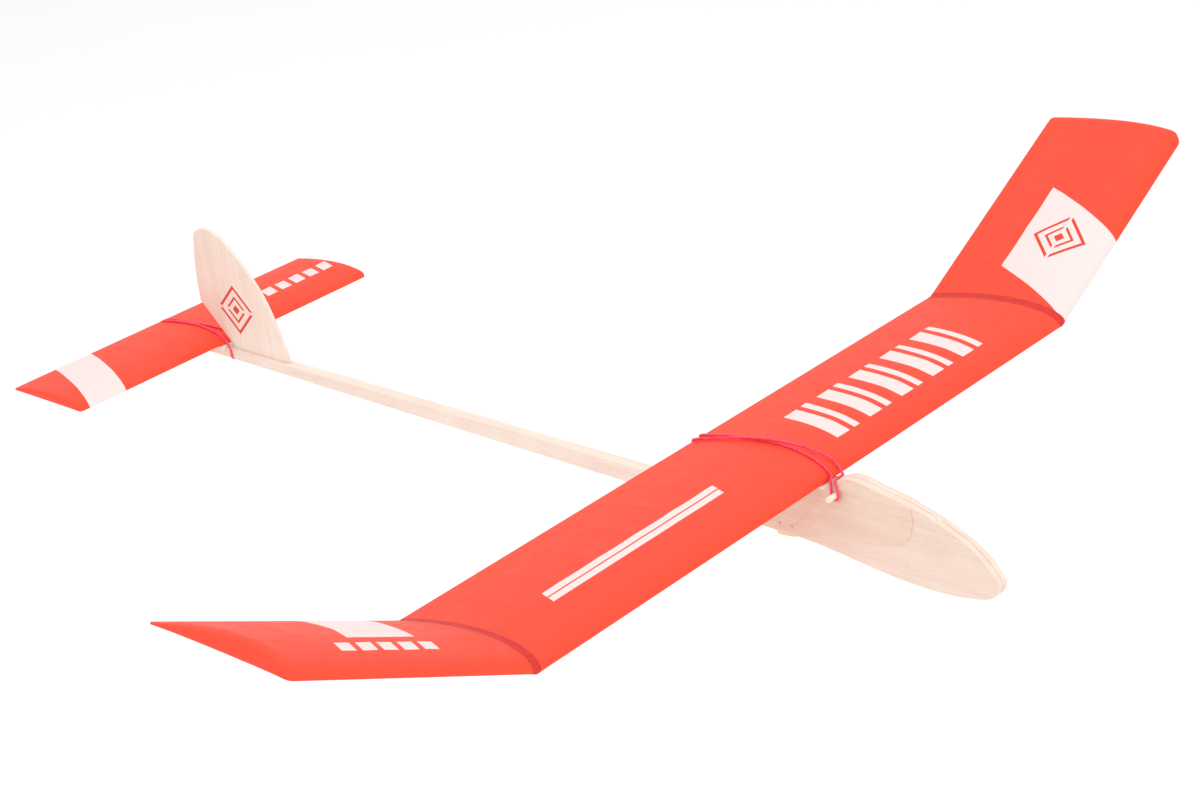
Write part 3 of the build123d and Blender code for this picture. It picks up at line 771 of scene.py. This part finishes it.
def band_piece(name, sections, closed, material, body, nodes):
    points = [at(*p) for section in sections for p in section]
    last = len(sections) if closed else len(sections) - 1
    faces = []
    for i in range(last):
        near, far = i * BAND_SIDES, (i + 1) % len(sections) * BAND_SIDES
        faces += [(near + k, near + (k + 1) % BAND_SIDES, far + (k + 1) % BAND_SIDES, far + k)
                  for k in range(BAND_SIDES)]
    if not closed:
        faces += [tuple(range(BAND_SIDES)),
                  tuple(range(len(points) - BAND_SIDES, len(points)))]
    return finish_piece(mesh_object(name, points, faces), material, body, nodes)


rubber = rubber_material()

# From under the front dowel's right end, diagonally over the wing to the rear dowel's left end, and back.
rising_behind = around(FRONT_DOWEL, [(-6.9, 2.8, -1.2), (-6.7, 2.8, 1.2)]) + [
    (-6.4, -5.2, 0.4), (-5.4, -4.6, 3.0), (0.3, -1.4, 2.1)]
strand_behind = over(WING, [(0, 0.3), (0.34, 4.2), (1, 7.4)])
left_descent = [(7.5, 104.8, 1.1), (7.7, 104.8, -0.9)]
left_turn = around(
    REAR_DOWEL, [(9.6, -3.1, 0.9), (9.4, -2.6, -1.7), (8.4, -0.4, -3.1), (7.4, 1.9, -2.3)])
right_ascent = [(6.2, 101.4, -8.5), (0.7, 104.8, -0.9), (0.5, 104.8, 1.1)]
strand_ahead = over(WING, [(0, 9.4), (0.12, 8.6), (0.34, 4.7), (1, 0.6)],
                    {0: 0.5, 1: 0.9, 2: 0.9, 3: 1.1, 4: 1.6, 5: 1.9, 6: 1.5, 7: 0.7, 8: 0.3})
falling_ahead = [
    (8.6, -2.2, 1.8), (6.6, -5.0, 1.6), (5.0, -5.5, 2.6), (-5.2, -7.2, 4.0), (-6.2, -8.2, 2.6)]
right_turn = around(
    FRONT_DOWEL, [(-7.2, -2.8, 1.0), (-7.4, -2.8, -1.2), (-7.4, -1.2, -2.8), (-7.1, 0.6, -2.8)])
wing_route = (rising_behind + strand_behind + left_descent + left_turn + right_ascent
              + strand_ahead[::-1] + falling_ahead + right_turn)
band_piece("wing_band", band_sections(wing_route, 6), True, rubber, "airframe", ["wing_rubber_band"])

# The tail band passes under the boom, over the tailplane in two strands and round the peg.
SIDE_X = 4.0 + BAND_RADIUS + 0.1
UNDER_Z = BOOM_END_BOTTOM_Z - 1.0 - BAND_RADIUS
turn_y = TAIL.y + TAIL.chord + 1.3
drop_y = BOOM_END_Y + BAND_RADIUS + 1.0
low_z = BOOM_END_BOTTOM_Z - BAND_RADIUS - 1.3


def tail_strand(sign, middle_x, rear_x):
    lead_in = [(sign * SIDE_X, TAIL_BAND_Y, TAIL.z - 4.6), (sign * SIDE_X, TAIL_BAND_Y + 0.8, TAIL.z - 2.5),
               (sign * (SIDE_X - 0.1), TAIL.y - 1.3, TAIL.z + 1.2)]
    return lead_in + over(TAIL, [(0, sign * SIDE_X), (0.42, middle_x), (1, rear_x)])


def tail_drop(x_top, x_low):
    return [(x_top, turn_y, TAIL.z - 1.6), ((x_top + x_low) / 2, drop_y + 1.4, TAIL.z - 8),
            (x_low, drop_y, low_z)]


peg_turn = [(x, PEG_Y + y, low_z - 0.7)
            for x, y in ((-2.4, 1.0), (-2.4, -1.5), (-1.3, -2.8), (1.3, -2.8), (2.4, -1.5), (2.4, 1.0))]
tail_route = (
    [(-SIDE_X, TAIL_BAND_Y, UNDER_Z), (SIDE_X, TAIL_BAND_Y, UNDER_Z)]
    + tail_strand(1, -0.8, 0.0) + tail_drop(0.0, 1.4) + peg_turn[::-1]
    + tail_drop(-3.4, -2.8)[::-1] + tail_strand(-1, -2.6, -3.4)[::-1])
tail_sections = band_sections(tail_route, 4)
middle_y = TAIL.y + TAIL.chord / 2
is_front = [section[0].y < middle_y for section in tail_sections]
first_rear = next(i for i, front in enumerate(is_front) if not front)
last_rear = len(is_front) - 1 - next(i for i, front in enumerate(reversed(is_front)) if not front)
front_sections = tail_sections[last_rear:] + tail_sections[:first_rear + 1]
rear_sections = tail_sections[first_rear:last_rear + 1]
front_band = band_piece("tail_band_front", front_sections, False, rubber, None,
                        ["tail_band_front_loop", "tail_band_strands"])
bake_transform(front_band)
rear_band = band_piece("tail_band_rear", rear_sections, False, rubber, None, ["tail_band_rear_loop"])
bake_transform(rear_band)

# ---------------------------------------------------------------- floor, light and camera

def floor(half=6.0, height=-0.45):
    """A square floor, well below the glider, which is in flight. Sizes are in metres."""
    mesh = bpy.data.meshes.new("floor")
    corners = [(-half, -half), (half, -half), (half, half), (-half, half)]
    mesh.from_pydata([(x, y, height) for x, y in corners], [], [(0, 1, 2, 3)])
    obj = bpy.data.objects.new("floor", mesh)
    bpy.context.scene.collection.objects.link(obj)
    g = Graph("floor_paint", 0.9, specular=0.1)
    tone = g.noise(g.node("ShaderNodeTexCoord").outputs["Object"], 2.0)
    mesh.materials.append(g.finish(g.mix(tone, (0.93, 0.93, 0.93, 1), (0.95, 0.95, 0.95, 1))))


def soft_light(name, place, target, size, power):
    data = bpy.data.lights.new(name, "AREA")
    data.shape = "RECTANGLE"
    data.size, data.size_y = size
    data.energy = power
    obj = bpy.data.objects.new(name, data)
    obj.location = place
    obj.rotation_euler = (Vector(target) - Vector(place)).to_track_quat("-Z", "Y").to_euler()
    bpy.context.scene.collection.objects.link(obj)


floor()
soft_light("overhead", (0.2, -0.2, 2.6), (0, 0, 0.05), (3.2, 3.2), 29.0)
soft_light("side", (-2.6, -1.2, 1.2), (0, 0, 0.05), (2.0, 2.0), 8.0)
soft_light("front", (-0.6, -2.6, 0.3), (0, -0.1, 0.05), (2.4, 1.4), 9.5)

world = bpy.data.worlds.new("studio")
world.use_nodes = True
background = world.node_tree.nodes["Background"]
background.inputs["Color"].default_value = (1.0, 1.0, 1.0, 1.0)
background.inputs["Strength"].default_value = 0.95
scene = bpy.context.scene
scene.world = world
scene.view_settings.view_transform = "Standard"

camera_data = bpy.data.cameras.new("camera")
camera_data.lens = 73.3
camera_data.sensor_width = 36.0
camera = bpy.data.objects.new("camera", camera_data)
camera.location = (-0.98724, -1.05385, 0.69513)
camera.rotation_euler = [math.radians(a) for a in (65.344, 6.362, -48.193)]
scene.collection.objects.link(camera)
scene.camera = camera
